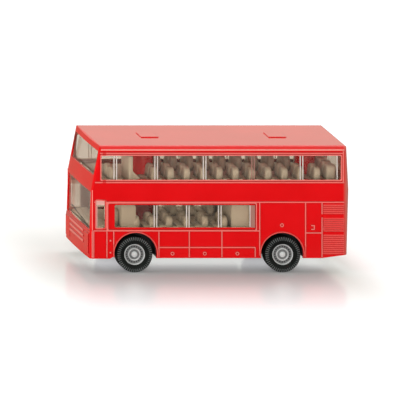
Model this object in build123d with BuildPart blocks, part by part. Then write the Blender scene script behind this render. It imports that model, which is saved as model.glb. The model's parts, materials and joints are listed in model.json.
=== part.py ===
from build123d import *
import os

# Pocket double-deck coach, in millimetres: X forward, Y to its left, Z up from the ground.

# Body
LENGTH = 80.7
BODY_WIDTH = 27.0
HALF_WIDTH = BODY_WIDTH / 2
ROOF_Z = 39.25
WALL = 1.0
NOSE_BOW = 0.3
CORNER = 0.7
SHOULDER = 1.2
BROW = 0.7
SLIP = 0.05

# The hull's breaks in side view, straight from each to the next
HULL = (
    # height, nose_x, tail_x
    (4.35, 40.1, -39.75),
    (13.25, 40.0, -40.0),
    (25.75, 39.6, -LENGTH / 2),
    (ROOF_Z, 36.95, -39.7),
)
NOSE, TAIL = 1, 2

# Lower edge of the skirt, from the nose to the tail
SKIRT = (
    # x, height
    (41.0, 4.35),
    (33.6, 4.35),
    (32.6, 4.95),
    (32.0, 4.55),
    (-32.0, 4.55),
    (-41.0, 5.75),
)

# Decks and glazing
LOWER_FLOOR_Z = 12.65
UPPER_FLOOR_Z = 26.65
FLOOR = 0.8
GLASS = 0.7
PANE_SET = 0.3
RIB_SPLIT = 0.4
RIB_BAR = 0.32
RIB_SET = 0.08

# Window openings: sides take X limits, ends take half a width in Y
UPPER_SIDE = (-37.9, 36.3, 28.75, 36.25)
LOWER_SIDE = (-10.0, 32.1, 13.95, 20.95)
LOWER_RECESS = (-11.5, 34.2, 13.25, 21.45)
DRIVER_SIDE = (35.1, 37.9, 13.85, 22.3)
UPPER_SCREEN = (HALF_WIDTH - 1.0, 29.95, 37.4)
LOWER_SCREEN = (HALF_WIDTH - 1.0, 13.15, 24.85)
REAR_SCREEN = (7.0, 29.8, 36.0)
UPPER_RIBS = (31.95, 19.3, 4.3, -10.7, -25.7)
LOWER_RIBS = (19.5, 9.5, -0.4)

# Raised lines of the casting, each a low strip with sloped flanks
LINE_WIDTH = 0.34
LINE_RISE = 0.12
FRAME_CORNER = 0.5
RECESS = 0.25
ROOT = 0.2
RUN_LINES = (
    # x_rear, x_front, height, sides
    (-38.9, 36.5, 37.95, (1, -1)),
    (-38.7, 36.7, 37.0, (1, -1)),
    (-38.9, 38.3, 27.95, (1, -1)),
    (-38.9, 38.5, 21.85, (1, -1)),
    (-12.7, 38.7, 13.0, (1, -1)),
    (-11.3, 18.5, 7.85, (1, -1)),
    (-32.0, -26.9, 12.35, (1, -1)),
)
RISE_LINES = (
    # x, low, high, sides
    (38.7, 4.65, 13.0, (1, -1)),
    (34.6, 4.65, 21.85, (1, -1)),
    (32.5, 5.45, 13.0, (1,)),
    (18.5, 4.85, 13.0, (1, -1)),
    (9.1, 4.85, 13.0, (1, -1)),
    (-1.0, 4.85, 13.0, (1, -1)),
    (-11.3, 4.85, 7.85, (1,)),
    (-12.7, 5.25, 21.85, (1, -1)),
    (-26.9, 4.85, 21.85, (1, -1)),
    (-32.0, 4.85, 17.15, (1, -1)),
    (-32.0, 18.15, 21.85, (1, -1)),
    (-6.9, 4.85, 13.0, (-1,)),
)
LATCHES = (
    # x, height
    (14.3, 5.95),
    (4.3, 5.95),
    (-5.8, 5.95),
    (-19.6, 14.75),
)
LATCH = (0.62, 0.32)
HANDLE = (-29.2, 14.05, 1.1, 1.5)
HINGE_X = 33.5
HINGE_PIN = 0.5
HINGE_PINS = (9.95, 6.25)

# Louvres on both flanks of the engine and on the tail
LOUVRE_RISE = 0.16
LOUVRE_PITCH = 0.62
LOUVRE_FILL = 0.8
SIDE_LOUVRES_X = (-38.8, -32.4)
SIDE_LOUVRES = (
    # low, count
    (18.25, 5),
    (12.85, 7),
    (5.85, 10),
)
TAIL_LOUVRE_Y = 8.0
TAIL_LOUVRES = ((12.85, 9),)

# Bumper, grille and lamps
NOSE_X = LENGTH / 2 - LOUVRE_RISE
BUMPER = (HALF_WIDTH - 0.6, HULL[0][0], 12.55)
GRILLE_BARS = (8.0, 9.65, 11.3)
GRILLE_HALF = 7.4
LAMP_PANEL = (8.0, 12.3, 5.6, 11.8)
TAIL_LAMPS = (11.3, 8.85, 1.5, 5.0)
TAIL_PLATE = (2.6, 8.65, 10.45)

# Roof hatches
HATCH_X = (18.3, -21.3)
HATCH_SIZE = (5.2, 5.6, 0.2)
HATCH_TAPER = 50

# Fixing posts of the casting, through both decks
POSTS = (19.7, -30.5)
POST_R = 3.1
POST_FOOT_Z = 5.85
RIVET_R = 1.3

# Running gear
AXLE_Z = 5.5
AXLES = {"front": 25.85, "rear": -20.0}
ARCH_X = (25.7, -19.7)
ARCH_Z = 5.8
SIDES = {"left": 1, "right": -1}
AXLE_R = 0.6
BORE_R = 0.66
AXLE_HALF = 12.0
TYRE_R = 5.5
TYRE_FACE = HALF_WIDTH - 0.25
TYRE_WIDTH = 4.0
HUB_R = 3.2
ARCH_R = 6.6
ARCH_LIP = (6.95, 0.12)

# Base
BASE_Z = 4.85
BASE_PLATE = 1.0
BASE_RIM = 1.9
WELL_R = 6.5
WELL_Y = 8.8
WELL_WALL = 0.8
BEARING_WALL = 0.6
POCKET_DEPTH = 0.4
POCKET = (-11.8, 17.4, -10.8, 10.8)
TANKS = (
    # x_low, x_high, y_low, y_high: left standing in the pocket, the last being the shaft's tunnel
    (-4.0, 4.0, -7.0, 7.0),
    (6.0, 16.0, 4.5, 10.0),
    (6.0, 16.0, -10.0, -4.5),
    (-10.6, -5.6, 3.5, 10.0),
    (-10.6, -5.6, -10.0, -3.5),
    (-11.8, 17.4, -0.7, 0.7),
)

# Seats
SEAT_WIDTH = 4.1
SEAT_Y = (5.2, 9.4)
SEAT_BACK = 1.5
SEAT_TAPER = 14
SEAT_SHOULDER = (
    # inward from the side, below the top
    (0.0, 1.5),
    (0.45, 0.45),
    (1.5, 0.0),
)
CUSHION = (2.6, 1.5)
UPPER_SEAT_TOP = 31.85
LOWER_SEAT_TOP = 16.65
UPPER_ROWS = (31.3, 18.3, 13.3, 8.3, 3.2, -1.8, -6.8, -11.9, -16.9, -21.9, -26.9, -32.0)
LOWER_ROWS = (23.9, 18.8, 13.7, 8.3, 2.6, -3.3)
BENCH_X = -37.0
BENCH_DEPTH = 3.2
BENCH_Y = (-8.4, -4.2, 0.0, 4.2, 8.4)
BENCH_RISE = 0.6
STAIR_HOLE = (23.5, 27.1, 3.6, 11.0)
STAIR_PANEL = (25.9, 27.3, 35.65)
STAIR_GUARD = ((27.3, 31.9), (23.0, 28.0))
STAIR_BLOCK = (24.9, 29.5, 3.6, 11.2, 20.75)
STAIR_ROUND = 0.8
REAR_BLOCK = (-37.8, -4.5, 11.5, 21.85)
DASH_REACH = 11.2
DASH_OUTLINE = (
    # x, height
    (33.5, LOWER_FLOOR_Z + FLOOR),
    (33.5, 15.85),
    (34.7, 15.85),
    (37.5, 14.25),
    (37.5, LOWER_FLOOR_Z + FLOOR),
)
DRIVER_SEAT = (30.5, 7.0, 18.45)


def edge_x(height, column):
    """X of the nose or the tail at a height, straight between the table's rows."""
    for low, high in zip(HULL, HULL[1:]):
        if height <= high[0]:
            break
    share = (height - low[0]) / (high[0] - low[0])
    return low[column] + share * (high[column] - low[column])


def tail_x(height):
    """X of the tail at a height."""
    return edge_x(height, TAIL)


def hull(bottom, top, inset, mode=Mode.ADD):
    """The coach's outer form between two heights, moved inward by inset."""
    breaks = [row[0] for row in HULL if bottom < row[0] < top]
    half = HALF_WIDTH - inset
    sections = []
    for height in (bottom, *breaks, top):
        nose = edge_x(height, NOSE) - inset
        tail = edge_x(height, TAIL) + inset
        with BuildSketch(Plane.XY.offset(height)) as section:
            with BuildLine():
                bow = ThreePointArc((nose - NOSE_BOW, -half), (nose, 0), (nose - NOSE_BOW, half))
                Polyline(bow @ 1, (tail, half), (tail, -half), bow @ 0)
            make_face()
            if inset < CORNER:
                fillet(section.vertices(), CORNER - inset)
        sections.append(section.sketch)
    loft(sections, ruled=True, mode=mode)


def upper_line(column, clear):
    """The upper deck's nose or tail line in side view, moved by clear and carried down to the ground."""
    waist, roof = HULL[-2:]
    fall = (waist[column] - roof[column]) / (roof[0] - waist[0]) * roof[0]
    return (roof[column] + clear, roof[0]), (roof[column] + clear + fall, 0)


def round_roof():
    """Rounds the roof's long edges with a cross section, and its ends with a side view."""
    with BuildSketch(Plane.YZ.offset(-LENGTH)) as section:
        with Locations((0, ROOF_Z / 2)):
            Rectangle(BODY_WIDTH, ROOF_Z)
        fillet(section.vertices().group_by(Axis.Y)[-1], SHOULDER)
    extrude(section.sketch, amount=2 * LENGTH, mode=Mode.INTERSECT)
    nose_top, nose_foot = upper_line(NOSE, SLIP)
    tail_top, tail_foot = upper_line(TAIL, -SLIP)
    with BuildSketch(Plane.XZ.offset(-LENGTH)) as profile:
        with BuildLine():
            Polyline(nose_top, tail_top, tail_foot, nose_foot, close=True)
        make_face()
        fillet(profile.vertices().group_by(Axis.Y)[-1], BROW)
    extrude(profile.sketch, amount=2 * LENGTH, mode=Mode.INTERSECT)


def side_face(side, out=0.0):
    """A side wall's plane, or one further out: local x runs rearward on the left, forward on the right."""
    return Plane(origin=(0, side * (HALF_WIDTH + out), 0), x_dir=(-side, 0, 0), z_dir=(0, side, 0))


def side_panel(side, frame, corner, start, depth, mode=Mode.ADD):
    """A rounded panel on a side, frame being its X and Z limits; start and depth run inward."""
    rear, front, low, high = frame
    with BuildSketch(side_face(side, -start)) as outline:
        with Locations((-side * (rear + front) / 2, (low + high) / 2)):
            RectangleRounded(front - rear, high - low, corner)
    extrude(outline.sketch, amount=-depth, mode=mode)


def end_panel(x_start, x_end, frame, corner, mode=Mode.ADD):
    """A rounded panel across an end, frame being half its width and its Z limits."""
    half, low, high = frame
    with BuildSketch(Plane.YZ.offset(x_start)) as outline:
        with Locations((0, (low + high) / 2)):
            RectangleRounded(2 * half, high - low, corner)
    extrude(outline.sketch, amount=x_end - x_start, mode=mode)


def shrunk(frame, gap):
    """A side frame's limits drawn in by gap, or let out where gap is negative."""
    rear, front, low, high = frame
    return rear + gap, front - gap, low + gap, high - gap


def shrunk_end(frame, gap):
    """An end frame's limits drawn in by gap."""
    half, low, high = frame
    return half - gap, low + gap, high - gap


def upper_windows(gap, mode=Mode.ADD):
    """The upper deck's window prisms."""
    side_panel(1, shrunk(UPPER_SIDE, gap), 0.5, -1, BODY_WIDTH + 2, mode)
    end_panel(34.5, 41, shrunk_end(UPPER_SCREEN, gap), 0.6, mode)
    end_panel(-37.5, -41, shrunk_end(REAR_SCREEN, gap), 0.8, mode)


def lower_windows(gap, mode=Mode.ADD):
    """The lower deck's window prisms."""
    for side in SIDES.values():
        side_panel(side, shrunk(LOWER_SIDE, gap), 0.4, -1, 4, mode)
        side_panel(side, shrunk(DRIVER_SIDE, gap), 0.3, -1, 4, mode)
    end_panel(37.6, 41, shrunk_end(LOWER_SCREEN, gap), 0.6, mode)


def rod(x, height, radius, y_low, y_high, mode=Mode.ADD):
    """A round bar or bore along Y."""
    with BuildSketch(Plane.XZ.offset(-y_high)) as outline:
        with Locations((x, height)):
            Circle(radius)
    extrude(outline.sketch, amount=y_high - y_low, mode=mode)


def block(x_low, x_high, y_low, y_high, z_low, z_high, mode=Mode.ADD):
    """A box between its limits."""
    with BuildSketch(Plane.XY.offset(z_low)) as outline:
        with Locations(((x_low + x_high) / 2, (y_low + y_high) / 2)):
            Rectangle(x_high - x_low, y_high - y_low)
    extrude(outline.sketch, amount=z_high - z_low, mode=mode)


def at_posts(radius, bottom, top, mode=Mode.ADD):
    """A round post, or clearance for one, at each fixing."""
    with BuildSketch(Plane.XY.offset(bottom)) as outline:
        with Locations(*[(x, 0) for x in POSTS]):
            Circle(radius)
    extrude(outline.sketch, amount=top - bottom, mode=mode)


def under_skirt():
    """Cuts away what lies below the skirt's edge."""
    with BuildSketch(Plane.XZ) as outline:
        with BuildLine():
            Polyline(*SKIRT, (SKIRT[-1][0], -TYRE_R), (SKIRT[0][0], -TYRE_R), close=True)
        make_face()
    extrude(outline.sketch, amount=BODY_WIDTH, both=True, mode=Mode.SUBTRACT)


def raised_work(side):
    """Panel lines, window frames, latches, the handle and hinge pins of one side, in low relief."""
    with BuildSketch(side_face(side, -ROOT)) as outline:
        for rear, front, height, sides in RUN_LINES:
            if side in sides:
                with Locations((-side * (rear + front) / 2, height)):
                    Rectangle(front - rear, LINE_WIDTH)
        for x, low, high, sides in RISE_LINES:
            if side in sides:
                with Locations((-side * x, (low + high) / 2)):
                    Rectangle(LINE_WIDTH, high - low)
        for frame in (UPPER_SIDE, LOWER_RECESS, DRIVER_SIDE):
            rear, front, low, high = shrunk(frame, -LINE_WIDTH)
            with Locations((-side * (rear + front) / 2, (low + high) / 2)):
                RectangleRounded(front - rear, high - low, FRAME_CORNER)
        with Locations(*[(-side * x, height) for x, height in LATCHES]):
            RegularPolygon(LATCH[0], 8)
            RegularPolygon(LATCH[1], 8, mode=Mode.SUBTRACT)
        x, height, width, tall = HANDLE
        with Locations((-side * x, height)):
            Rectangle(width, tall)
        with Locations((-side * (x + LINE_WIDTH), height)):
            Rectangle(width, tall - 2 * LINE_WIDTH, mode=Mode.SUBTRACT)
        with Locations(*[(-side * HINGE_X, height) for height in HINGE_PINS]):
            Rectangle(HINGE_PIN, HINGE_PIN)
    extrude(outline.sketch, amount=ROOT + LINE_RISE)


def louvres(plane, wall, outward, length, banks):
    """Slats of saw-tooth section, drawn in a plane across them, on a wall given by height."""
    with BuildSketch(plane) as comb:
        for low, count in banks:
            for step in range(count):
                foot = low + step * LOUVRE_PITCH
                head = foot + LOUVRE_FILL * LOUVRE_PITCH
                root = wall(foot) - outward * ROOT
                tip = wall(foot) + outward * LOUVRE_RISE
                with BuildLine():
                    Polyline((root, foot), (tip, foot), (wall(head), head), (root, head), close=True)
                make_face()
    extrude(comb.sketch, amount=length)


# Casting: one shell with its windows, arches, louvres, lamps and posts
with BuildPart() as body_shell:
    hull(HULL[0][0], ROOF_Z, 0)
    round_roof()
    reach, low, high = BUMPER
    with BuildSketch(Plane.XY.offset(low)):
        with BuildLine():
            bow = ThreePointArc((NOSE_X - NOSE_BOW, -reach), (NOSE_X, 0), (NOSE_X - NOSE_BOW, reach))
            Polyline(bow @ 1, (NOSE_X - 2, reach), (NOSE_X - 2, -reach), bow @ 0)
        make_face()
    extrude(amount=high - low)
    for height in GRILLE_BARS:
        block(NOSE_X - 1, NOSE_X + LOUVRE_RISE, -GRILLE_HALF, GRILLE_HALF, height, height + 2 * LINE_WIDTH)
    y_low, y_high, low, high = LAMP_PANEL
    for side in SIDES.values():
        block(NOSE_X - 1, NOSE_X, *sorted((side * y_low, side * y_high)), low, high)
    for side in SIDES.values():
        raised_work(side)
        rear, front = SIDE_LOUVRES_X
        louvres(Plane.YZ.offset(rear), lambda height: side * HALF_WIDTH, side, front - rear, SIDE_LOUVRES)
        side_panel(side, LOWER_RECESS, FRAME_CORNER, -1, 1 + RECESS, Mode.SUBTRACT)
    louvres(Plane.XZ.offset(-TAIL_LOUVRE_Y), tail_x, -1, 2 * TAIL_LOUVRE_Y, TAIL_LOUVRES)
    for side in SIDES.values():
        y, low, wide, tall = TAIL_LAMPS
        reach = sorted((side * (y - wide / 2), side * (y + wide / 2)))
        block(tail_x(low + tall) - LINE_RISE, tail_x(low) + WALL, *reach, low, low + tall)
    half, low, high = TAIL_PLATE
    block(tail_x(high) - LINE_RISE, tail_x(low) + WALL, -half, half, low, high)
    hull(HULL[0][0] - 1, ROOF_Z - WALL, WALL, Mode.SUBTRACT)
    upper_windows(0, Mode.SUBTRACT)
    lower_windows(0, Mode.SUBTRACT)
    for x in ARCH_X:
        for side in SIDES.values():
            reach = sorted((side * (HALF_WIDTH - WALL), side * (HALF_WIDTH + ARCH_LIP[1])))
            rod(x, ARCH_Z, ARCH_LIP[0], *reach)
        rod(x, ARCH_Z, ARCH_R, -BODY_WIDTH, BODY_WIDTH, Mode.SUBTRACT)
    under_skirt()
    with BuildSketch(Plane.XY.offset(ROOF_Z)):
        with Locations(*[(x, 0) for x in HATCH_X]):
            RectangleRounded(HATCH_SIZE[0], HATCH_SIZE[1], 0.5)
    extrude(amount=HATCH_SIZE[2], taper=HATCH_TAPER)
    at_posts(POST_R, POST_FOOT_Z, ROOF_Z - WALL / 2)
    at_posts(RIVET_R, BASE_Z, POST_FOOT_Z)
body_shell.part.label = "body_shell"


def glazing_ribs(places, opening):
    """Pairs of thin bars on a side moulding, at the joints between its panes."""
    for side in SIDES.values():
        for x in places:
            for bar in (x - RIB_SPLIT, x + RIB_SPLIT):
                frame = (bar - RIB_BAR / 2, bar + RIB_BAR / 2, opening[2] + SLIP, opening[3] - SLIP)
                side_panel(side, frame, 0.1, RIB_SET, WALL)


# Clear mouldings: a ring inside the wall, with panes and ribs that stand into the openings
with BuildPart() as upper_prisms:
    upper_windows(SLIP)
with BuildPart() as upper_panes:
    hull(UPPER_FLOOR_Z + FLOOR, ROOF_Z - WALL - SLIP, PANE_SET)
    hull(UPPER_FLOOR_Z, ROOF_Z, WALL + GLASS, Mode.SUBTRACT)
    add(upper_prisms.part, mode=Mode.INTERSECT)
with BuildPart() as upper_glazing:
    hull(UPPER_FLOOR_Z + FLOOR, ROOF_Z - WALL, WALL + SLIP)
    hull(UPPER_FLOOR_Z, ROOF_Z, WALL + GLASS, Mode.SUBTRACT)
    add(upper_panes.part)
    glazing_ribs(UPPER_RIBS, UPPER_SIDE)
upper_glazing.part.label = "upper_glazing"

with BuildPart() as lower_prisms:
    lower_windows(SLIP)
with BuildPart() as lower_panes:
    hull(LOWER_FLOOR_Z, UPPER_FLOOR_Z, PANE_SET)
    hull(LOWER_FLOOR_Z - 1, UPPER_FLOOR_Z + 1, WALL + GLASS, Mode.SUBTRACT)
    add(lower_prisms.part, mode=Mode.INTERSECT)
with BuildPart() as lower_glazing:
    hull(LOWER_FLOOR_Z, UPPER_FLOOR_Z, WALL + SLIP)
    hull(LOWER_FLOOR_Z - 1, UPPER_FLOOR_Z + 1, WALL + GLASS, Mode.SUBTRACT)
    add(lower_panes.part)
    glazing_ribs(LOWER_RIBS, LOWER_SIDE)
lower_glazing.part.label = "lower_glazing"


def seat_row(x, places, floor, top, depth=SEAT_BACK):
    """Seats across a deck, round-shouldered backs and cushions in one."""
    half = SEAT_WIDTH / 2
    with BuildSketch(Plane.YZ.offset(x + depth)) as backs:
        for y in places:
            left = [(y + half - inward, top - below) for inward, below in SEAT_SHOULDER]
            right = [(y - half + inward, top - below) for inward, below in reversed(SEAT_SHOULDER)]
            with BuildLine():
                Polyline((y + half, floor), *left, *right, (y - half, floor), close=True)
            make_face()
    extrude(backs.sketch, amount=-depth, taper=SEAT_TAPER)
    with BuildSketch(Plane.YZ.offset(x)) as cushions:
        with Locations(*[(y, floor + CUSHION[1] / 2) for y in places]):
            Rectangle(SEAT_WIDTH, CUSHION[1])
    extrude(cushions.sketch, amount=depth + CUSHION[0])


PAIRS = [side * y for side in (1, -1) for y in SEAT_Y]
UPPER_TOP = UPPER_FLOOR_Z + FLOOR
LOWER_TOP = LOWER_FLOOR_Z + FLOOR

# Seat mouldings
with BuildPart() as upper_deck:
    hull(UPPER_FLOOR_Z, UPPER_TOP, WALL + SLIP)
    for x in UPPER_ROWS:
        seat_row(x, PAIRS, UPPER_TOP, UPPER_SEAT_TOP)
    seat_row(BENCH_X, BENCH_Y, UPPER_TOP, UPPER_SEAT_TOP + BENCH_RISE, BENCH_DEPTH)
    x_low, x_high, y_low, y_high = STAIR_HOLE
    rear, front, top = STAIR_PANEL
    block(rear, front, y_low - 0.6, y_high + 0.6, UPPER_TOP, top)
    with BuildSketch(Plane.XZ.offset(-y_high)):
        with BuildLine():
            Polyline(*STAIR_GUARD, (STAIR_GUARD[1][0], UPPER_TOP), (STAIR_GUARD[0][0], UPPER_TOP), close=True)
        make_face()
    extrude(amount=-0.6)
    block(x_low, rear, y_low, y_high, UPPER_FLOOR_Z - 1, UPPER_TOP + 1, Mode.SUBTRACT)
    at_posts(POST_R + SLIP, UPPER_FLOOR_Z - 1, ROOF_Z, Mode.SUBTRACT)
upper_deck.part.label = "upper_deck"

with BuildPart() as lower_deck:
    hull(LOWER_FLOOR_Z, LOWER_TOP, WALL + GLASS + SLIP)
    for x in LOWER_ROWS:
        seat_row(x, PAIRS, LOWER_TOP, LOWER_SEAT_TOP)
    x_low, x_high, y_low, y_high, top = STAIR_BLOCK
    with BuildSketch(Plane.XZ.offset(-y_high)) as stairs:
        with Locations(((x_low + x_high) / 2, (LOWER_TOP + top) / 2)):
            Rectangle(x_high - x_low, top - LOWER_TOP)
        fillet(stairs.vertices().group_by(Axis.Y)[-1].sort_by(Axis.X)[0], STAIR_ROUND)
    extrude(amount=y_high - y_low)
    rear, front, reach, top = REAR_BLOCK
    block(rear, front, -reach, reach, LOWER_TOP, top)
    with BuildSketch(Plane.XZ.offset(-DASH_REACH)):
        with BuildLine():
            Polyline(*DASH_OUTLINE, close=True)
        make_face()
    extrude(amount=2 * DASH_REACH)
    seat_row(DRIVER_SEAT[0], (DRIVER_SEAT[1],), LOWER_TOP, DRIVER_SEAT[2])
    at_posts(POST_R + SLIP, LOWER_FLOOR_Z - 1, ROOF_Z, Mode.SUBTRACT)
lower_deck.part.label = "lower_deck"

# Base: a tray with a rim that holds up the decks, wheel wells and axle bearings
with BuildPart() as chassis:
    hull(BASE_Z, LOWER_FLOOR_Z, WALL + SLIP)
    hull(BASE_Z + BASE_PLATE, LOWER_FLOOR_Z + 1, WALL + BASE_RIM, Mode.SUBTRACT)
    block(*POCKET, BASE_Z, BASE_Z + POCKET_DEPTH, Mode.SUBTRACT)
    for tank in TANKS:
        block(*tank, BASE_Z, BASE_Z + BASE_PLATE / 2)
    for axle_x, x in zip(AXLES.values(), ARCH_X):
        half = WELL_R + WELL_WALL
        for side in SIDES.values():
            reach = sorted((side * (WELL_Y - WELL_WALL), side * (HALF_WIDTH - WALL - BASE_RIM)))
            block(x - half, x + half, *reach, BASE_Z, LOWER_FLOOR_Z)
        rod(axle_x, AXLE_Z, AXLE_R + BEARING_WALL, -WELL_Y, WELL_Y)
        for side in SIDES.values():
            rod(x, ARCH_Z, WELL_R, *sorted((side * WELL_Y, side * HALF_WIDTH)), Mode.SUBTRACT)
        rod(axle_x, AXLE_Z, BORE_R, -BODY_WIDTH, BODY_WIDTH, Mode.SUBTRACT)
    at_posts(RIVET_R, 0, BASE_Z + BASE_PLATE, Mode.SUBTRACT)
    under_skirt()
chassis.part.label = "chassis"

pieces = [body_shell, upper_glazing, lower_glazing, upper_deck, lower_deck, chassis]

# Wheel sections, as radius and distance inward from the tyre's outer face
HUB_SECTION = (
    (0.0, 3.9),
    (HUB_R, 3.9),
    (HUB_R, 0.3),
    (3.0, 0.3),
    (2.8, 0.8),
    (2.0, 0.8),
    (1.9, 0.5),
    (1.65, 0.5),
    (1.45, 0.8),
    (1.0, 0.8),
    (0.8, 0.35),
    (0.0, 0.25),
)
TYRE_SECTION = (
    (HUB_R, 3.9),
    (4.9, TYRE_WIDTH),
    (TYRE_R, 3.6),
    (TYRE_R, 0.4),
    (4.9, 0.0),
    (4.3, 0.0),
    (4.1, 0.2),
    (HUB_R, 0.3),
)


def turned(section, x, side):
    """A section turned about an axle's centre line."""
    with BuildSketch(Plane.XY.offset(AXLE_Z)) as profile:
        with BuildLine():
            Polyline(*[(x + radius, side * (TYRE_FACE - away)) for radius, away in section], close=True)
        make_face()
    revolve(profile.sketch, axis=Axis((x, 0, AXLE_Z), (0, 1, 0)))


# Rolling gear: an axle with a hub pressed on each end, and a tyre on each hub
for end, x in AXLES.items():
    with BuildPart() as axle:
        rod(x, AXLE_Z, AXLE_R, -AXLE_HALF, AXLE_HALF)
    axle.part.label = f"{end}_axle"
    pieces.append(axle)
    for name, side in SIDES.items():
        with BuildPart() as hub:
            turned(HUB_SECTION, x, side)
            reach = sorted((0, side * AXLE_HALF))
            rod(x, AXLE_Z, AXLE_R, *reach, Mode.SUBTRACT)
        hub.part.label = f"{end}_{name}_hub"
        with BuildPart() as tyre:
            turned(TYRE_SECTION, x, side)
        tyre.part.label = f"{end}_{name}_tyre"
        pieces += [hub, tyre]

os.makedirs("parts", exist_ok=True)
for piece in pieces:
    export_step(piece.part, f"parts/{piece.part.label}.step")
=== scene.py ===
import json
import math

import bmesh
import bpy
from mathutils import Matrix, Vector


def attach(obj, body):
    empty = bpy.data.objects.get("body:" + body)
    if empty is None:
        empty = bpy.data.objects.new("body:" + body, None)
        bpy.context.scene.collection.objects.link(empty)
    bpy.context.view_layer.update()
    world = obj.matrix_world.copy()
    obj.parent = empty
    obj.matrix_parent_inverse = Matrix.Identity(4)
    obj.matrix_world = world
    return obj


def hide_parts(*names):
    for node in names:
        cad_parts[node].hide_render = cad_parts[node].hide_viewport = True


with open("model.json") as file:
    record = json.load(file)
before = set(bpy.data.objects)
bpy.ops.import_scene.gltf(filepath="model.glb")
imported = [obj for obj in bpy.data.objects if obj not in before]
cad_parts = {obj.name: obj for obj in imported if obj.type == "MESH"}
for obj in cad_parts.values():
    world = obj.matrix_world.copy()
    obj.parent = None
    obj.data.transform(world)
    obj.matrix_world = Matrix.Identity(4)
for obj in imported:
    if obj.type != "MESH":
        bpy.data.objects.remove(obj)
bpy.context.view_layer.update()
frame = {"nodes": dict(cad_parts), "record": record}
nodes = frame["nodes"]

MM = 0.001

# The photograph's view: an oblique picture with the bus's side square on, in pixels of 404 by 404
PHOTO_PX = 404
PX_PER_MM = 3.23
TAIL_X = -40.0
TAIL_PX = 347.82
GROUND_PX = 272.8
SIDE_Y = 13.5
TO_CAMERA = Vector((0.2865, 1.0, 0.2530)).normalized()
CAMERA_DISTANCE = 5.0
CAMERA_REACH = 100
SENSOR_MM = 36.0

# All places and sizes below are in millimetres, unless a comment says otherwise

# Wheels and their details
WHEELS = {"front": 25.85, "rear": -20.0}
AXLE_Z = 5.5
TYRE_FACE = 13.25
LUG_COUNT = 48
LUG_HALF_TURN = 0.021  # radians
LUG_SECTION = ((4.40, -0.1), (4.45, 0.09), (5.30, 0.06), (5.44, -0.12), (5.2, -0.5))
VENT_COUNT = 20
VENT_SIDES = 8
VENT_CIRCLE = 2.4
VENT_RINGS = ((0.22, -0.86), (0.22, -0.74), (0.18, -0.69))  # radius, and place from the tyre's face

# Ribs and ends of the clear mouldings: a box is its lowest and highest X, then Z
UPPER_RIBS = (31.95, 19.3, 4.3, -10.7, -25.7)
LOWER_RIBS = (19.5, 9.5, -0.4)
UPPER_RIB_SPAN = (28.85, 36.15)
LOWER_RIB_SPAN = (14.05, 20.85)
RIB_SPLIT = 0.4
RIB_HALF = 0.15
RIB_DEPTH = (13.3, 13.46)
RIB_EDGE = 0.05
END_BARS = (
    (-36.9, -36.6, 28.9, 36.1),
    (-9.98, -9.65, 14.1, 20.8),
    (35.2, 37.8, 20.95, 22.2),
    (37.45, 37.75, 14.0, 20.7),
)
END_BAR_DEPTH = (13.16, 13.3)
REAR_STRIP = (-11.25, -9.97, 14.0, 20.9)
REAR_STRIP_DEPTH = (13.42, 13.57)
REAR_STRIP_EDGE = 0.06

# Gutter rails, beads of the front corners and ends of the upper windows, as boxes like the ribs
RAILS = (
    (-38.9, 36.45, 37.86, 38.28),
    (39.05, 39.3, 4.7, 12.9),
    (39.0, 39.25, 13.1, 25.6),
    (-38.65, -38.43, 28.1, 37.7),
)
RAIL_DEPTH = (13.4, 13.74)
RAIL_EDGE = 0.08

# Decks and seats
UPPER_FLOOR = 27.45
LOWER_FLOOR = 13.45
UPPER_TOP = 31.95
LOWER_TOP = 16.75
BENCH_X = -37.0
BENCH_TOP = 32.55
BENCH_DEPTH = 3.0
BENCH_PLACES = (-8.4, -4.2, 0.0, 4.2, 8.4)
UPPER_ROWS = (31.3, 18.3, 13.3, 8.3, 3.2, -1.8, -6.8, -11.9, -16.9, -21.9, -26.9, -32.0)
LOWER_ROWS = (23.9, 18.8, 13.7, 8.3, 2.6, -3.3)
SEAT_PLACES = (9.4, 5.2, -5.2, -9.4)
NEAR_PLACES = (9.4, 5.2)
STAIR_X = 28.0
DRIVER_X = 29.7
DRIVER_PLACES = (7.0,)
DRIVER_TOP = 18.45
SEAT_WIDTH = 4.1
SEAT_DEPTH = 2.0
SEAT_CROWN = 1.9
SEAT_CROWN_POWER = 0.8
SEAT_STEPS = 12
SEAT_LEAN = 0.08
SEAT_EDGE = ((0.0, 0.55), (0.1, 0.28), (0.32, 0.08), (0.65, 0.0))  # depth behind the face, inset
SINK = 0.1
CUSHION_TUCK = 0.5
CUSHION_REACH = 1.9
CUSHION_RISE = 0.6
CUSHION_EDGE = 0.25

# Blocks of the decks: two corners, or an outline in X and Z with its lowest and highest Y
UPPER_PLATE = ((-38.9, -12.4, 26.65), (38.0, 12.4, UPPER_FLOOR))
LOWER_PLATE = ((-38.0, -11.7, 12.65), (37.8, 11.7, LOWER_FLOOR))
PLATE_EDGE = 0.2
STAIR_PANEL = ((25.9, 3.0, UPPER_FLOOR - SINK), (27.3, 11.6, 35.65))
STAIR_PANEL_EDGE = 0.4
STAIR_SLOPE = ((26.6, 31.5), (23.0, 28.0), (23.0, 27.3), (26.6, 27.3))
STAIR_SLOPE_SPAN = (10.8, 11.4)
STAIR_SLOPE_EDGE = 0.15
BULKHEAD = ((24.9, 13.3), (24.9, 19.9), (25.7, 20.75), (29.5, 20.75), (29.5, 13.3))
BULKHEAD_SPAN = (3.6, 11.2)
BULKHEAD_EDGE = 0.35
REAR_BLOCK = ((-37.8, -11.5, LOWER_FLOOR - SINK), (-4.5, 11.5, 21.85))
REAR_BLOCK_EDGE = 0.6
FRONT_FLOOR = ((33.5, 13.3), (33.5, 14.1), (35.0, 14.1), (37.5, 13.8), (37.5, 13.3))
FRONT_FLOOR_SPAN = (-11.2, 11.2)
FRONT_FLOOR_EDGE = 0.2

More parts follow.
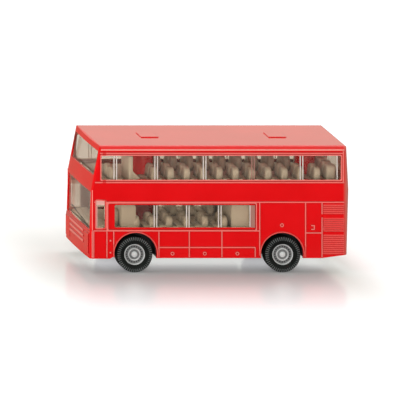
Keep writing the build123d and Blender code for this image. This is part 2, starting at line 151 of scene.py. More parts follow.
# Roof hatches and the rivets under the base
HATCHES = (18.3, -21.3)
HATCH_HALF = (2.75, 2.95)
HATCH_RISE = 0.26
HATCH_EDGE = 0.1
ROOF_Z = 39.25
POSTS = (19.7, -30.5)
BASE_Z = 4.85
RIVET_SIDES = 32
RIVET_SECTION = (
    (1.95, 0.0), (1.9, -0.12), (1.6, -0.26), (0.9, -0.34), (0.45, -0.30), (0.3, -0.22),
)

# Lower windscreen and wipers: Y and Z of each wiper's two ends
SCREEN_X = 39.7
SCREEN_FOOT_Z = 13.25
SCREEN_SLOPE = 0.032
SCREEN_BOW = 0.3
WIPERS = (("left", (2.9, 14.8), (12.3, 13.5)), ("right", (-8.5, 15.8), (3.6, 14.9)))
WIPER_LINES = ((0.0, 0.0, 1.0), (0.42, 0.12, 0.8))  # lift, and shares of the length, of each rod
WIPER_LIFT_START = 0.25
WIPER_POINTS = 9
WIPER_RADIUS = 0.085
WIPER_GAP = 0.1

# Areas of the finishes. A limit is an axis, where the area's share is 0 and where it is 1; the
# shares of several limits are multiplied. |X| and |Y| are distances from the middle.
RAISED_LINES = ("|Y|", 13.53, 13.61)
RAIL_FACES = ("|Y|", 13.67, 13.71)
NOSE_BARS = ("X", 40.24, 40.32)
AHEAD_OF_LOUVRES = ("X", -32.4, -32.3)
ABOVE_LOUVRES = ("Z", 21.5, 21.6)
FRONT_POST = (("X", 34.8, 34.9), ("X", 36.0, 35.9), ("Z", 13.1, 13.3))
ARCH_LIP = (7.4, 7.5)
TAIL_END = ("X", -38.5, -39.7)
TAIL_FLANK = ("|Y|", 12.7, 13.3)
CABIN = (("|Y|", 12.9, 12.6), ("X", 37.9, 37.5), ("X", -38.9, -38.5))
LOWER_CABIN = (*CABIN, ("Z", 25.6, 25.0), ("Z", 12.0, 12.5))
UPPER_WALLS = (*CABIN, ("|Y|", 9.0, 9.5), ("Z", 37.5, 37.0), ("Z", 26.2, 26.6))
SCREENS = ("X", 36.0, 37.5)
UPPER_PANES = ("Z", 26.5, 27.5)
UPPER_SILL = ("Z", 30.35, 30.05)
LOWER_SCREEN_FOOT = ("Z", 18.5, 17.0)
FRONT_FRAMES = ("X", 34.5, 34.6)
REAR_STRIP_AREA = (("X", -9.9, -10.0), ("X", -12.0, -11.9))
UPPER_FLOOR_FRONT = (("Z", 26.0, 26.2), ("Z", 28.0, 27.7), ("X", 32.0, 34.0))
HUB_DISH = ("|Y|", 12.5, 12.75)
FLOOR_NEAR = (("|Y|", 66, 16), ("X", -54, -36), ("X", 70, 42))
FLOOR_UNDER = (("|X|", 42, 34), ("|Y|", 13, 2))
FLOOR_BEHIND = ("Y", 50, -20)
FLOOR_TAILWARD = ("X", -20, -70)
FLOOR_FAR = (150, 1200)

# Colours, as linear red, green and blue: pairs are the darker and the lighter tone of a mottle
PAINT = ((0.73, 0.001, 0.003), (0.79, 0.002, 0.005))
PAINTED_CREASE_SHADE = (0.30, 0.001, 0.002)
PAINTED_HIGHLIGHT_TONE = (1.0, 0.36, 0.31)
PAINTED_TAIL_CORNER_SHEEN = (0.52, 0.14, 0.11)
PAINTED_LOWER_CABIN_SHADE = (0.10, 0.004, 0.010)
PAINTED_UPPER_WALL_SHADE = (0.13, 0.035, 0.028)
GLASS = ((0.75, 0.69, 0.60), (0.79, 0.73, 0.65))
GLASS_LOWER_SIDES = (0.71, 0.64, 0.55)
GLASS_LOWER_SCREEN = (0.72, 0.62, 0.54)
GLASS_UPPER_SCREEN_PAINTED_LIGHT = (0.87, 0.75, 0.67)
GLASS_SCREEN_FOOT_PAINTED_LIGHT = (0.83, 0.73, 0.65)
PAINTED_SILL_SHADE = (0.30, 0.06, 0.05)
GLASS_SHADE = (0.97, 0.96, 0.94)
FROST_AND_GLINT_TONES = ((0.78, 0.70, 0.64), (0.95, 0.87, 0.81))
PAINTED_GLINT_FRONT_BARS = (1.0, 0.50, 0.44)
FROST_REAR_STRIP = (0.50, 0.24, 0.19)
BEIGE = ((0.62, 0.54, 0.43), (0.67, 0.59, 0.47))
BEIGE_PAINTED_SHADE_FRONT = (0.16, 0.10, 0.08)
BLACK_BASE = ((0.018, 0.018, 0.02), (0.03, 0.03, 0.032))
LUG_GLINT_TONES = ((0.11, 0.12, 0.12), (0.16, 0.17, 0.17))
TYRE = ((0.004, 0.005, 0.005), (0.009, 0.011, 0.011))
STEEL = ((0.5, 0.5, 0.5), (0.62, 0.62, 0.62))
SILVER = ((0.64, 0.66, 0.67), (0.80, 0.82, 0.83))
TABLE = (0.90, 0.91, 0.93)
TABLE_GLOW = (0.97, 0.97, 1.0)
TABLE_MIRRORED = (0.36, 0.31, 0.24)
TABLE_MIRRORED_TAIL = (0.9, 0.88, 0.84)
TABLE_MIRRORED_BEHIND = (0.10, 0.070, 0.058)

# How strongly the painted highlight, a pale tone, shows on the raised lines and edges
LINES_ON_LOUVRES, LINES_ELSEWHERE = 0.10, 0.52
LINES_ON_POST = 0.25
LINES_ON_LIPS = 0.45
HIGHLIGHT_ON_RAILS = 0.8
HIGHLIGHT_ON_BARS = 0.5
HIGHLIGHT_ON_EDGES = 0.45

# Gloss: a metal's smoothest and roughest, its painted shade in grooves and at a dish's foot, and
# how much the table mirrors and glows
METAL_ROUGHNESS = (0.24, 0.38)
METAL_GROOVE_SHADE = 0.25
DISH_FOOT_SHADE = 0.15
TABLE_GLOSS = 0.6
# Glow of the table: lower near the bus as painted shadow, painted light under the body and through
# the panes
GLOW_FAR, GLOW_NEAR_PAINTED_SHADOW = 0.30, 0.02
PAINTED_LIGHT_UNDER_BODY = 0.42
PAINTED_LIGHT_THROUGH_GLASS = 0.15

# Light. The world's numbers are shares of white, and its rise is from the horizon up.
FLOOR_SIZE = 40  # metres
WORLD_LEVEL = 0.45
WORLD_COLOUR = (1, 0.98, 0.91)
WORLD_MIRRORED_COLOUR = (0.97, 1.0, 0.86)
WORLD_RISE = (0.06, 0.22)
WORLD_HORIZON = 0.25
WHITE = (1, 1, 1)
LAMPS = (
    # name, place, aim, width, depth, watts, whether gloss mirrors it; in metres
    ("softbox", (-0.12, -0.25, 0.55), (0, 0, 0.03), 0.7, 0.45, 1.8, True),
    ("key", (0.35, 0.95, 0.28), (0, 0, 0.02), 0.5, 0.5, 4.9, False),
    ("front", (0.95, 0.15, 0.25), (0, 0, 0.02), 0.5, 0.5, 3.0, False),
)


def add_camera():
    """A view camera: its film is parallel to the bus's side, so the side isn't foreshortened."""
    middle = PHOTO_PX / 2
    aim = Vector((
        TAIL_X + (TAIL_PX - middle) / PX_PER_MM,
        SIDE_Y,
        (GROUND_PX - middle) / PX_PER_MM,
    )) * MM
    data = bpy.data.cameras.new("camera")
    data.sensor_width = SENSOR_MM
    data.lens = SENSOR_MM * CAMERA_DISTANCE / (PHOTO_PX / PX_PER_MM * MM)
    data.clip_end = CAMERA_REACH
    camera = bpy.data.objects.new("camera", data)
    bpy.context.scene.collection.objects.link(camera)
    mount = bpy.data.objects.new("camera_mount", None)
    bpy.context.scene.collection.objects.link(mount)
    mount.location = aim + TO_CAMERA * CAMERA_DISTANCE
    camera.parent = mount
    film = Matrix.Identity(4)
    for column, axis in enumerate(((-1, 0, 0), (0, 0, 1), TO_CAMERA)):
        for row in range(3):
            film[row][column] = axis[row]
    camera.matrix_parent_inverse = film
    bpy.context.scene.camera = camera


class Nodes:
    """A node tree, with short ways to add nodes to it."""

    def __init__(self, tree):
        self.tree = tree

    def node(self, kind, **settings):
        made = self.tree.nodes.new("ShaderNode" + kind)
        for name, value in settings.items():
            setattr(made, name, value)
        return made

    def link(self, source, target):
        self.tree.links.new(source, target)

    def set(self, source, socket):
        """Feeds a socket with a number, a colour of three numbers, or another node's output."""
        if isinstance(source, tuple):
            socket.default_value = (*source, 1)
        elif isinstance(source, (int, float)):
            socket.default_value = source
        else:
            self.link(source, socket)

    def place(self, space="Object"):
        return self.node("TexCoord").outputs[space]

    def axis(self, name, space="Object"):
        """X, Y or Z of a place, or its distance from 0 where the name has bars, as in |Y|."""
        made = self.node("SeparateXYZ")
        self.link(self.place(space), made.inputs["Vector"])
        value = made.outputs[name.strip("|")]
        return self.math("ABSOLUTE", value) if "|" in name else value

    def math(self, operation, *sources):
        made = self.node("Math", operation=operation)
        for source, socket in zip(sources, made.inputs):
            self.set(source, socket)
        return made.outputs["Value"]

    def between(self, share, low, high):
        """Runs from the low to the high number as the share goes from 0 to 1."""
        return self.math("MULTIPLY_ADD", share, high - low, low)

    def blend(self, share, base, over, kind="RGBA"):
        """Runs from the base to what lies over it as the share goes from 0 to 1."""
        made = self.node("Mix", data_type=kind)
        self.link(share, made.inputs["Factor"])
        self.set(base, made.inputs["A"])
        self.set(over, made.inputs["B"])
        return made.outputs["Result"]

    def span(self, source, low, high, start=0.0, end=1.0, kind="LINEAR"):
        """Runs from start to end as the source goes from low to high."""
        made = self.node("MapRange", interpolation_type=kind)
        self.link(source, made.inputs["Value"])
        made.inputs["From Min"].default_value = low
        made.inputs["From Max"].default_value = high
        made.inputs["To Min"].default_value = start
        made.inputs["To Max"].default_value = end
        return made.outputs["Result"]

    def area(self, *limits, kind="LINEAR"):
        """Share of an area that is given by limits in millimetres."""
        share = None
        for name, low, high in limits:
            part = self.span(self.axis(name), low * MM, high * MM, kind=kind)
            share = part if share is None else self.math("MULTIPLY", share, part)
        return share

    def noise(self, scale, detail):
        made = self.node("TexNoise")
        made.inputs["Scale"].default_value = scale
        made.inputs["Detail"].default_value = detail
        self.link(self.place(), made.inputs["Vector"])
        return made.outputs["Fac"]


class Finish(Nodes):
    """A material with one main shader."""

    def __init__(self, name):
        self.material = bpy.data.materials.new(name)
        self.material.use_nodes = True
        super().__init__(self.material.node_tree)
        self.shader = self.tree.nodes["Principled BSDF"]

    def adjust(self, values):
        """Sets inputs of the shader that are the same all over."""
        for name, value in values.items():
            self.set(value, self.shader.inputs[name])

    def feed(self, source, name):
        """Feeds an input of the shader with what varies over the surface."""
        self.link(source, self.shader.inputs[name])

    def mottle(self, scale, tones, detail=4, spread=0.15):
        """Two tones, mixed by noise."""
        made = self.node("ValToRGB")
        places = (0.5 - spread, 0.5 + spread)
        for stop, place, colour in zip(made.color_ramp.elements, places, tones):
            stop.position = place
            stop.color = (*colour, 1)
        self.link(self.noise(scale, detail), made.inputs["Fac"])
        return made.outputs["Color"]

    def tint(self, base, share, colour, *limits):
        """Lays a colour over an area of the base, as strongly as the share says."""
        return self.blend(self.math("MULTIPLY", self.area(*limits), share), base, colour)

    def grain(self, scale, strength, depth, detail=2, edge=None):
        """Fine relief, on edges that are rounded by a radius where one is given."""
        made = self.node("Bump")
        made.inputs["Strength"].default_value = strength
        made.inputs["Distance"].default_value = depth * MM
        self.link(self.noise(scale, detail), made.inputs["Height"])
        if edge:
            bevel = self.node("Bevel", samples=6)
            bevel.inputs["Radius"].default_value = edge * MM
            self.link(bevel.outputs["Normal"], made.inputs["Normal"])
        self.feed(made.outputs["Normal"], "Normal")

    def cavity(self, reach, closed, wide, inside=False):
        """Openness of the surface, from 0 where it is closed in to 1 where it is wide open.

        Low in a groove, or on a sharp outer edge where inside is set.
        """
        made = self.node("AmbientOcclusion", samples=8, inside=inside, only_local=True)
        made.inputs["Distance"].default_value = reach * MM
        return self.span(made.outputs["AO"], closed, wide)

    def surface(self, share, first, second):
        """Makes the surface run from one shader to another as the share goes from 0 to 1."""
        made = self.node("MixShader")
        for source, socket in zip((share, first, second), made.inputs):
            self.link(source, socket)
        self.link(made.outputs["Shader"], self.tree.nodes["Material Output"].inputs["Surface"])


def past_arches(made):
    """Share that is 0 on the lips of the wheel arches and 1 beyond them."""
    flat = made.node("VectorMath", operation="MULTIPLY")
    flat.inputs[1].default_value = (1, 0, 1)
    made.link(made.place(), flat.inputs[0])
    shares = []
    for x in WHEELS.values():
        reach = made.node("VectorMath", operation="DISTANCE")
        reach.inputs[1].default_value = (x * MM, 0, AXLE_Z * MM)
        made.link(flat.outputs["Vector"], reach.inputs[0])
        shares.append(made.span(reach.outputs["Value"], ARCH_LIP[0] * MM, ARCH_LIP[1] * MM))
    return made.math("MULTIPLY", *shares)


def enamel():
    """Glossy red paint, with a painted highlight in a pale tone over raised lines and edges, and
    painted shade in the creases beside them.
    """
    made = Finish("red_enamel")
    strength = made.math("MAXIMUM", made.area(AHEAD_OF_LOUVRES), made.area(ABOVE_LOUVRES))
    strength = made.between(strength, LINES_ON_LOUVRES, LINES_ELSEWHERE)
    for part in (
        made.between(made.area(*FRONT_POST), 1.0, LINES_ON_POST),
        made.between(past_arches(made), LINES_ON_LIPS, 1.0),
    ):
        strength = made.math("MULTIPLY", strength, part)
    # Painted highlight: a pale tone over the raised lines, rails, nose bars and sharp outer edges
    highlight_share = made.math("MULTIPLY", made.area(RAISED_LINES), strength)
    edges = made.cavity(0.22, 0.75, 0.35, inside=True)
    for share, most in (
        (made.area(RAIL_FACES), HIGHLIGHT_ON_RAILS),
        (made.area(NOSE_BARS), HIGHLIGHT_ON_BARS),
        (edges, HIGHLIGHT_ON_EDGES),
    ):
        highlight_share = made.math("MAXIMUM", highlight_share, made.math("MULTIPLY", share, most))
    # Painted shade: a darker red in the creases and hollows, where the surface is closed in
    body = made.blend(made.cavity(0.35, 0.55, 0.93), PAINTED_CREASE_SHADE, made.mottle(70, PAINT))
    # Painted sheen: a paler red down the rear corners, where the rounded corner would mirror the
    # room
    corner = made.math("MINIMUM", made.area(TAIL_END), made.area(TAIL_FLANK))
    body = made.blend(corner, body, PAINTED_TAIL_CORNER_SHEEN)
    # Painted shade: a darker red on the inner walls of the lower and upper cabins
    body = made.tint(body, 0.8, PAINTED_LOWER_CABIN_SHADE, *LOWER_CABIN)
    body = made.tint(body, 0.75, PAINTED_UPPER_WALL_SHADE, *UPPER_WALLS)
    made.feed(made.blend(highlight_share, body, PAINTED_HIGHLIGHT_TONE), "Base Color")
    made.grain(700, strength=0.05, depth=0.15, edge=0.14)
    made.adjust({
        "Roughness": 0.13,
        "Specular IOR Level": 0.4,
        "Coat Weight": 0.3,
        "Coat Roughness": 0.05,
    })
    return made.material


def clear():
    """Clear moulded plastic, faintly smoky, that lets lamp light through to the decks."""
    made = Finish("clear")
    upper = made.area(UPPER_PANES)
    sides = made.blend(upper, GLASS_LOWER_SIDES, made.mottle(60, GLASS))
    # Painted light: the upper windscreen, and the lower one's foot in front of the dashboard, are
    # tinted lighter than the side panes
    screens = made.blend(upper, GLASS_LOWER_SCREEN, GLASS_UPPER_SCREEN_PAINTED_LIGHT)
    screens = made.blend(made.area(LOWER_SCREEN_FOOT), screens, GLASS_SCREEN_FOOT_PAINTED_LIGHT)
    # Painted shade: dark red along the foot of the upper windscreen
    sill = made.math("MINIMUM", made.area(UPPER_SILL), upper)
    screens = made.blend(sill, screens, PAINTED_SILL_SHADE)
    made.feed(made.blend(made.area(SCREENS), sides, screens), "Base Color")
    made.grain(220, strength=0.04, depth=0.1)
    made.adjust({
        "Roughness": 0.02,
        "IOR": 1.06,
        "Transmission Weight": 1.0,
        "Coat Weight": 1.0,
        "Coat Roughness": 0.02,
        "Coat IOR": 1.55,
    })
    shade = made.node("BsdfTransparent")
    made.set(GLASS_SHADE, shade.inputs["Color"])
    paths = made.node("LightPath").outputs
    lighting = made.math("MAXIMUM", paths["Is Shadow Ray"], paths["Is Diffuse Ray"])
    made.surface(lighting, made.shader.outputs["BSDF"], shade.outputs["BSDF"])
    return made.material


def frost_and_glint():
    """Frosted clear plastic, whitish where the moulding is ribbed, partly as a painted glint on the
    ribs' edges; with a paler painted highlight on the bars at the front, and redder beside the
    paint.
    """
    made = Finish("frost_and_glint")
    # Whitish frost: partly a painted glint on the clear ribs
    body = made.mottle(300, FROST_AND_GLINT_TONES, detail=3, spread=0.2)
    # Painted highlight: a pale pink over the bars at the front, such as the lit top of the driver's
    # window
    body = made.tint(body, 0.85, PAINTED_GLINT_FRONT_BARS, FRONT_FRAMES)
    body = made.tint(body, 1.0, FROST_REAR_STRIP, *REAR_STRIP_AREA)
    made.feed(body, "Base Color")
    made.grain(1500, strength=0.1, depth=0.05)
    made.adjust({"Roughness": 0.3, "Transmission Weight": 0.25})
    return made.material


def moulded(name, tones, roughness, grain, relief, edge=0.1, specular=0.5, groove=0.35, reach=0.5,
            tints=()):
    """Moulded plastic or rubber: mottled, fine-grained and soft-edged, with painted shade in its
    grooves and hollows.
    """
    made = Finish(name)
    # Painted shade: a darker tone where the surface is closed in
    painted_shade_tone = tuple(value * groove for value in tones[0])
    body = made.blend(made.cavity(reach, 0.15, 0.8), painted_shade_tone, made.mottle(grain / 4, tones))
    for share, colour, limits in tints:
        body = made.tint(body, share, colour, *limits)
    made.feed(body, "Base Color")
    made.grain(grain, strength=relief, depth=0.2, detail=3, edge=edge)
    made.adjust({"Roughness": roughness, "Specular IOR Level": specular})
    return made.material


def metal(name, tones, metallic, dish=None):
    """Bright plating or steel, worn unevenly, with painted shade in its grooves and below a dish's
    rings.
    """
    made = Finish(name)
    painted_shade_tone = tuple(value * METAL_GROOVE_SHADE for value in tones[0])
    open_share = made.cavity(0.6, 0.3, 0.8)
    # Painted shade at the foot of the dish, below its rings
    if dish:
        proud = made.between(made.area(dish), DISH_FOOT_SHADE, 1.0)
        open_share = made.math("MINIMUM", open_share, proud)
    made.feed(made.blend(open_share, painted_shade_tone, made.mottle(500, tones)), "Base Color")
    smooth, rough = METAL_ROUGHNESS
    made.feed(made.span(made.noise(260, 3), 0.3, 0.7, start=smooth, end=rough), "Roughness")
    made.grain(1200, strength=0.05, depth=0.1, edge=0.08)
    made.adjust({"Metallic": metallic})
    return made.material


FINISHES = {
    "red_enamel": enamel(),
    "clear": clear(),
    "frost_and_glint": frost_and_glint(),
    "beige": moulded(
        "beige", BEIGE, roughness=0.5, grain=500, relief=0.08, edge=0.2, groove=0.3, reach=1.8,
        # Painted shade over the front of the upper deck's floor
        tints=((0.8, BEIGE_PAINTED_SHADE_FRONT, UPPER_FLOOR_FRONT),),
    ),
    "black_base": moulded("black_base", BLACK_BASE, roughness=0.45, grain=600, relief=0.1),
    # Lugs in a lighter grey: a painted glint on the tyres' shoulders
    "glinting_lugs": moulded("glinting_lugs", LUG_GLINT_TONES, roughness=0.35, grain=800, relief=0.12, edge=0.05),
    "tyre": moulded(
        "tyre", TYRE, roughness=0.65, grain=800, relief=0.12, edge=0.08, specular=0.25,
    ),
    "steel": metal("steel", STEEL, metallic=1.0),
    "silver": metal("silver", SILVER, metallic=0.3, dish=HUB_DISH),
}


def dress_nodes():
    """Gives every CAD node the finish of its slot."""
    for entry in frame["record"]["subparts"]:
        piece = nodes[entry["node"]]
        piece.data.materials.clear()
        piece.data.materials.append(FINISHES[entry["material_slot"]])


def new_piece(name, shape, finish, body, smooth=False):
    """Makes an object of a bmesh, with its finish, slot and body."""
    for face in shape.faces:
        face.smooth = smooth
    mesh = bpy.data.meshes.new(name)
    shape.to_mesh(mesh)
    shape.free()
    made = bpy.data.objects.new(name, mesh)
    bpy.context.scene.collection.objects.link(made)
    mesh.materials.append(FINISHES[finish])
    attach(made, body)
    return made


def round_edges(shape, edges, radius, segments):
    """Rounds edges of a solid."""
    bmesh.ops.bevel(
        shape, geom=edges, offset=radius * MM, segments=segments, affect="EDGES", profile=0.5,
    )


def block(shape, low, high, edge):
    """Adds a block between two corners, its edges rounded."""
    low, high = Vector(low), Vector(high)
    middle, size = (low + high) / 2 * MM, (high - low) * MM
    place = Matrix.Translation(middle) @ Matrix.Diagonal((*size, 1))
    made = bmesh.ops.create_cube(shape, size=1, matrix=place)
    edges = list({line for vert in made["verts"] for line in vert.link_edges})
    round_edges(shape, edges, edge, 2)


def side_blocks(shape, boxes, depths, edge):
    """Adds boxes of X and Z on both sides of the bus, between two distances from its middle."""
    for side in (1, -1):
        y_low, y_high = sorted(side * depth for depth in depths)
        for x_low, x_high, z_low, z_high in boxes:
            block(shape, (x_low, y_low, z_low), (x_high, y_high, z_high), edge)


def solid(shape, rings):
    """Adds a closed solid over rings of points, each as many, and returns its faces."""
    rings = [[shape.verts.new(point) for point in ring] for ring in rings]
    made = [shape.faces.new(rings[0]), shape.faces.new(rings[-1])]
    count = len(rings[0])
    for first, last in zip(rings, rings[1:]):
        for a in range(count):
            b = (a + 1) % count
            made.append(shape.faces.new((first[a], first[b], last[b], last[a])))
    bmesh.ops.recalc_face_normals(shape, faces=made)
    return made


def prism(shape, outline, span, edge):
    """Adds a solid of an outline in X and Z, from one Y to another, its edges rounded."""
    made = solid(shape, [[Vector((x, y, z)) * MM for x, z in outline] for y in span])
    round_edges(shape, list({line for face in made for line in face.edges}), edge, 3)


def add_bars():
    """Frosted ribs and ends of the clear mouldings, standing between the panes; their whitish frost
    is partly a painted glint.
    """
    ribs = [
        (middle - RIB_HALF, middle + RIB_HALF, *span)
        for places, span in ((UPPER_RIBS, UPPER_RIB_SPAN), (LOWER_RIBS, LOWER_RIB_SPAN))
        for x in places
        for middle in (x - RIB_SPLIT, x + RIB_SPLIT)
    ]
    shape = bmesh.new()
    side_blocks(shape, ribs, RIB_DEPTH, RIB_EDGE)
    side_blocks(shape, END_BARS, END_BAR_DEPTH, RIB_EDGE)
    side_blocks(shape, (REAR_STRIP,), REAR_STRIP_DEPTH, REAR_STRIP_EDGE)
    new_piece("glazing_bars", shape, "frost_and_glint", "root")


def seat_back(shape, x, y, floor, top, depth):
    """Adds one seat back: a round-topped lobe that leans a little and is soft at its edges."""
    half = SEAT_WIDTH / 2
    rise = top - floor - SEAT_CROWN
    outline = [(-half, 0.0), (-half, rise)]
    for step in range(1, SEAT_STEPS):
        turn = math.pi * step / SEAT_STEPS
        outline.append((
            -half * math.cos(turn),
            rise + SEAT_CROWN * math.sin(turn) ** SEAT_CROWN_POWER,
        ))
    outline += [(half, rise), (half, 0.0)]
    back = [(depth - along, inset) for along, inset in reversed(SEAT_EDGE)]
    solid(shape, [
        [
            Vector((
                x + along - SEAT_LEAN * up,
                y + across * (1 - inset / half),
                floor + up - (inset if up > 0 else 0),
            )) * MM
            for across, up in outline
        ]
        for along, inset in (*SEAT_EDGE, *back)
    ])


def seat_row(shape, x, places, floor, top, depth=SEAT_DEPTH):
    """Adds a row of seats, backs and cushions."""
    for y in places:
        seat_back(shape, x, y, floor - SINK, top, depth)
        block(
            shape,
            (x + depth - CUSHION_TUCK, y - SEAT_WIDTH / 2, floor - SINK),
            (x + depth + CUSHION_REACH, y + SEAT_WIDTH / 2, floor + CUSHION_RISE),
            CUSHION_EDGE,
        )


def add_decks():
    """Both seat mouldings, with rounder seats than those of the CAD nodes that they stand for."""
    shape = bmesh.new()
    block(shape, *UPPER_PLATE, PLATE_EDGE)
    for x in UPPER_ROWS:
        places = NEAR_PLACES if x > STAIR_X else SEAT_PLACES
        seat_row(shape, x, places, UPPER_FLOOR, UPPER_TOP)
    seat_row(shape, BENCH_X, BENCH_PLACES, UPPER_FLOOR, BENCH_TOP, BENCH_DEPTH)
    block(shape, *STAIR_PANEL, STAIR_PANEL_EDGE)
    prism(shape, STAIR_SLOPE, STAIR_SLOPE_SPAN, STAIR_SLOPE_EDGE)
    made = new_piece("upper_seats", shape, "beige", "root", smooth=True)
    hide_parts("upper_deck")
    shape = bmesh.new()
    block(shape, *LOWER_PLATE, PLATE_EDGE)
    for x in LOWER_ROWS:
        seat_row(shape, x, SEAT_PLACES, LOWER_FLOOR, LOWER_TOP)
    seat_row(shape, DRIVER_X, DRIVER_PLACES, LOWER_FLOOR, DRIVER_TOP)
    prism(shape, BULKHEAD, BULKHEAD_SPAN, BULKHEAD_EDGE)
    block(shape, *REAR_BLOCK, REAR_BLOCK_EDGE)
    prism(shape, FRONT_FLOOR, FRONT_FLOOR_SPAN, FRONT_FLOOR_EDGE)
    made = new_piece("lower_seats", shape, "beige", "root", smooth=True)
    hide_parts("lower_deck")


def ring_point(radius, angle, y, x):
    """A point round an axle, in metres."""
    return Vector((x + radius * math.cos(angle), y, AXLE_Z + radius * math.sin(angle))) * MM


def wheels():
    """Each wheel's name, body, axle X and side."""
    for end, x in WHEELS.items():
        for name, side in (("left", 1), ("right", -1)):
            yield f"{end}_{name}", f"{end}_wheelset", x, side


def add_tyre_lugs():
    """Lugs round the outer shoulder of each tyre, in a lighter grey that paints glints on them."""
    for name, body, x, side in wheels():
        shape = bmesh.new()
        for step in range(LUG_COUNT):
            angle = 2 * math.pi * (step + 0.5) / LUG_COUNT
            solid(shape, [
                [
                    ring_point(radius, angle + turn, side * (TYRE_FACE + out), x)
                    for radius, out in LUG_SECTION
                ]
                for turn in (-LUG_HALF_TURN, LUG_HALF_TURN)
            ])
        new_piece(name + "_tyre_lugs", shape, "glinting_lugs", body)


def add_hub_vents():
    """Ring of small dark discs in each hub's dish, painted shade that stands for the vent holes."""
    turns = [2 * math.pi * part / VENT_SIDES for part in range(VENT_SIDES)]
    for name, body, x, side in wheels():
        shape = bmesh.new()
        for step in range(VENT_COUNT):
            angle = 2 * math.pi * step / VENT_COUNT
            rings = []
            for radius, out in VENT_RINGS:
                middle = ring_point(VENT_CIRCLE, angle, side * (TYRE_FACE + out), x)
                rings.append([
                    middle + Vector((math.cos(turn), 0, math.sin(turn))) * radius * MM
                    for turn in turns
                ])
            solid(shape, rings)
        new_piece(name + "_hub_vent_shade", shape, "black_base", body)


def screen_x(y, z):
    """X of the lower windscreen's pane at a place."""
    return SCREEN_X - (z - SCREEN_FOOT_Z) * SCREEN_SLOPE - SCREEN_BOW * (y / SIDE_Y) ** 2


def add_wipers():
    """Two wipers at the foot of the lower windscreen, each an arm and a blade."""
    for name, low, high in WIPERS:
        data = bpy.data.curves.new("wiper_" + name, "CURVE")
        data.dimensions = "3D"
        data.bevel_depth = WIPER_RADIUS * MM
        data.bevel_resolution = 2
        data.use_fill_caps = True
        for lift, start, end in WIPER_LINES:
            line = data.splines.new("POLY")
            line.points.add(WIPER_POINTS - 1)
            for step, point in enumerate(line.points):
                part = step / (WIPER_POINTS - 1)
                share = start + (end - start) * part
                y = low[0] + (high[0] - low[0]) * share
                z = low[1] + (high[1] - low[1]) * share
                z += lift * math.sin(math.pi * min(1, part + WIPER_LIFT_START))
                point.co = (*(Vector((screen_x(y, z) + WIPER_GAP, y, z)) * MM), 1)
        made = bpy.data.objects.new("wiper_" + name, data)
        bpy.context.scene.collection.objects.link(made)
        data.materials.append(FINISHES["black_base"])
        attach(made, "root")


def add_rails():
    """Gutter rails above the upper windows and narrow beads down the corners, which the enamel
    paints with a highlight.
    """
    shape = bmesh.new()
    side_blocks(shape, RAILS, RAIL_DEPTH, RAIL_EDGE)
    new_piece("body_rails", shape, "red_enamel", "root")


def add_hatches():
    """Raised lids over the roof's two hatches."""
    shape = bmesh.new()
    half_x, half_y = HATCH_HALF
    for x in HATCHES:
        block(
            shape,
            (x - half_x, -half_y, ROOF_Z - SINK),
            (x + half_x, half_y, ROOF_Z + HATCH_RISE),
            HATCH_EDGE,
        )
    new_piece("roof_hatches", shape, "red_enamel", "root")


def add_rivets():
    """Spun heads of the casting's two posts, under the base."""
    shape = bmesh.new()
    turns = [2 * math.pi * step / RIVET_SIDES for step in range(RIVET_SIDES)]
    for x in POSTS:
        solid(shape, [
            [
                Vector((x + radius * math.cos(turn), radius * math.sin(turn), BASE_Z + drop)) * MM
                for turn in turns
            ]
            for radius, drop in RIVET_SECTION
        ])
    new_piece("rivet_heads", shape, "steel", "root", smooth=True)


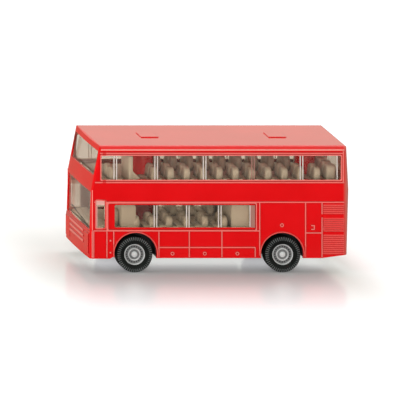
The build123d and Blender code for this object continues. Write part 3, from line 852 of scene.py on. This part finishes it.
def add_floor():
    """A white table that keeps the object's shadow, and its reflection near by, with painted shadow
    near the bus and painted light under its body.
    """
    bpy.ops.mesh.primitive_plane_add(size=FLOOR_SIZE)
    floor = bpy.context.object
    floor.name = "floor"
    made = Finish("floor")
    made.adjust({"Base Color": TABLE, "Roughness": 0.2})
    near = made.area(*FLOOR_NEAR, kind="SMOOTHSTEP")
    made.feed(made.math("MULTIPLY", near, TABLE_GLOSS), "Specular IOR Level")
    paths = made.node("LightPath").outputs

    # Glow that whitens the floor for the camera and through the panes: low near the bus as painted
    # shadow, raised under the body as painted light, and seen through the panes as painted light
    level = made.between(near, GLOW_FAR, GLOW_NEAR_PAINTED_SHADOW)
    level = made.math("MULTIPLY_ADD", made.area(*FLOOR_UNDER), PAINTED_LIGHT_UNDER_BODY, level)
    far_off = made.math("MAXIMUM", made.axis("|X|"), made.axis("|Y|"))
    level = made.math("MAXIMUM", level, made.span(far_off, FLOOR_FAR[0] * MM, FLOOR_FAR[1] * MM))
    level = made.math("MULTIPLY", level, paths["Is Camera Ray"])
    through = made.math("MULTIPLY", paths["Is Transmission Ray"], PAINTED_LIGHT_THROUGH_GLASS)
    glow = made.node("Emission")
    made.set(TABLE_GLOW, glow.inputs["Color"])
    made.link(made.math("ADD", level, through), glow.inputs["Strength"])
    lit = made.node("AddShader")
    made.link(made.shader.outputs["BSDF"], lit.inputs[0])
    made.link(glow.outputs["Emission"], lit.inputs[1])

    # Dark floor that the body mirrors, paler toward the tail
    mirrored = made.math("SUBTRACT", paths["Is Glossy Ray"], paths["Is Transmission Ray"])
    tone = made.blend(made.area(FLOOR_TAILWARD), TABLE_MIRRORED, TABLE_MIRRORED_TAIL)
    tone = made.blend(made.area(FLOOR_BEHIND), TABLE_MIRRORED_BEHIND, tone)
    dark = made.node("BsdfDiffuse")
    made.link(tone, dark.inputs["Color"])
    made.surface(mirrored, lit.outputs["Shader"], dark.outputs["BSDF"])
    floor.data.materials.append(made.material)


def add_world():
    """A pale room, white to the camera and darker at its foot where it is mirrored."""
    world = bpy.data.worlds.new("world")
    bpy.context.scene.world = world
    world.use_nodes = True
    made = Nodes(world.node_tree)
    back = made.tree.nodes["Background"]
    paths = made.node("LightPath").outputs
    rise = made.span(made.axis("Z", "Generated"), *WORLD_RISE, start=WORLD_HORIZON)
    colour, strength = WORLD_COLOUR, WORLD_LEVEL
    for ray, other in (("Is Glossy Ray", WORLD_MIRRORED_COLOUR), ("Is Camera Ray", WHITE)):
        colour = made.blend(paths[ray], colour, other)
    levels = (("Is Glossy Ray", rise), ("Is Transmission Ray", 1.0), ("Is Camera Ray", 1.0))
    for ray, other in levels:
        strength = made.blend(paths[ray], strength, other, "FLOAT")
    made.link(colour, back.inputs["Color"])
    made.link(strength, back.inputs["Strength"])


def add_lamps():
    """A softbox overhead, a key lamp beside the camera and a lamp ahead of the nose."""
    for name, place, aim, width, depth, watts, mirrored in LAMPS:
        data = bpy.data.lights.new(name, "AREA")
        data.shape = "RECTANGLE"
        data.size = width
        data.size_y = depth
        data.energy = watts
        lamp = bpy.data.objects.new(name, data)
        bpy.context.scene.collection.objects.link(lamp)
        lamp.location = place
        lamp.visible_glossy = mirrored
        lamp.rotation_mode = "QUATERNION"
        lamp.rotation_quaternion = (Vector(aim) - lamp.location).to_track_quat("-Z", "Y")


add_camera()
dress_nodes()
add_bars()
add_decks()
add_tyre_lugs()
add_hub_vents()
add_wipers()
add_rails()
add_hatches()
add_rivets()
add_floor()
add_world()
add_lamps()
bpy.context.scene.view_settings.view_transform = "Standard"
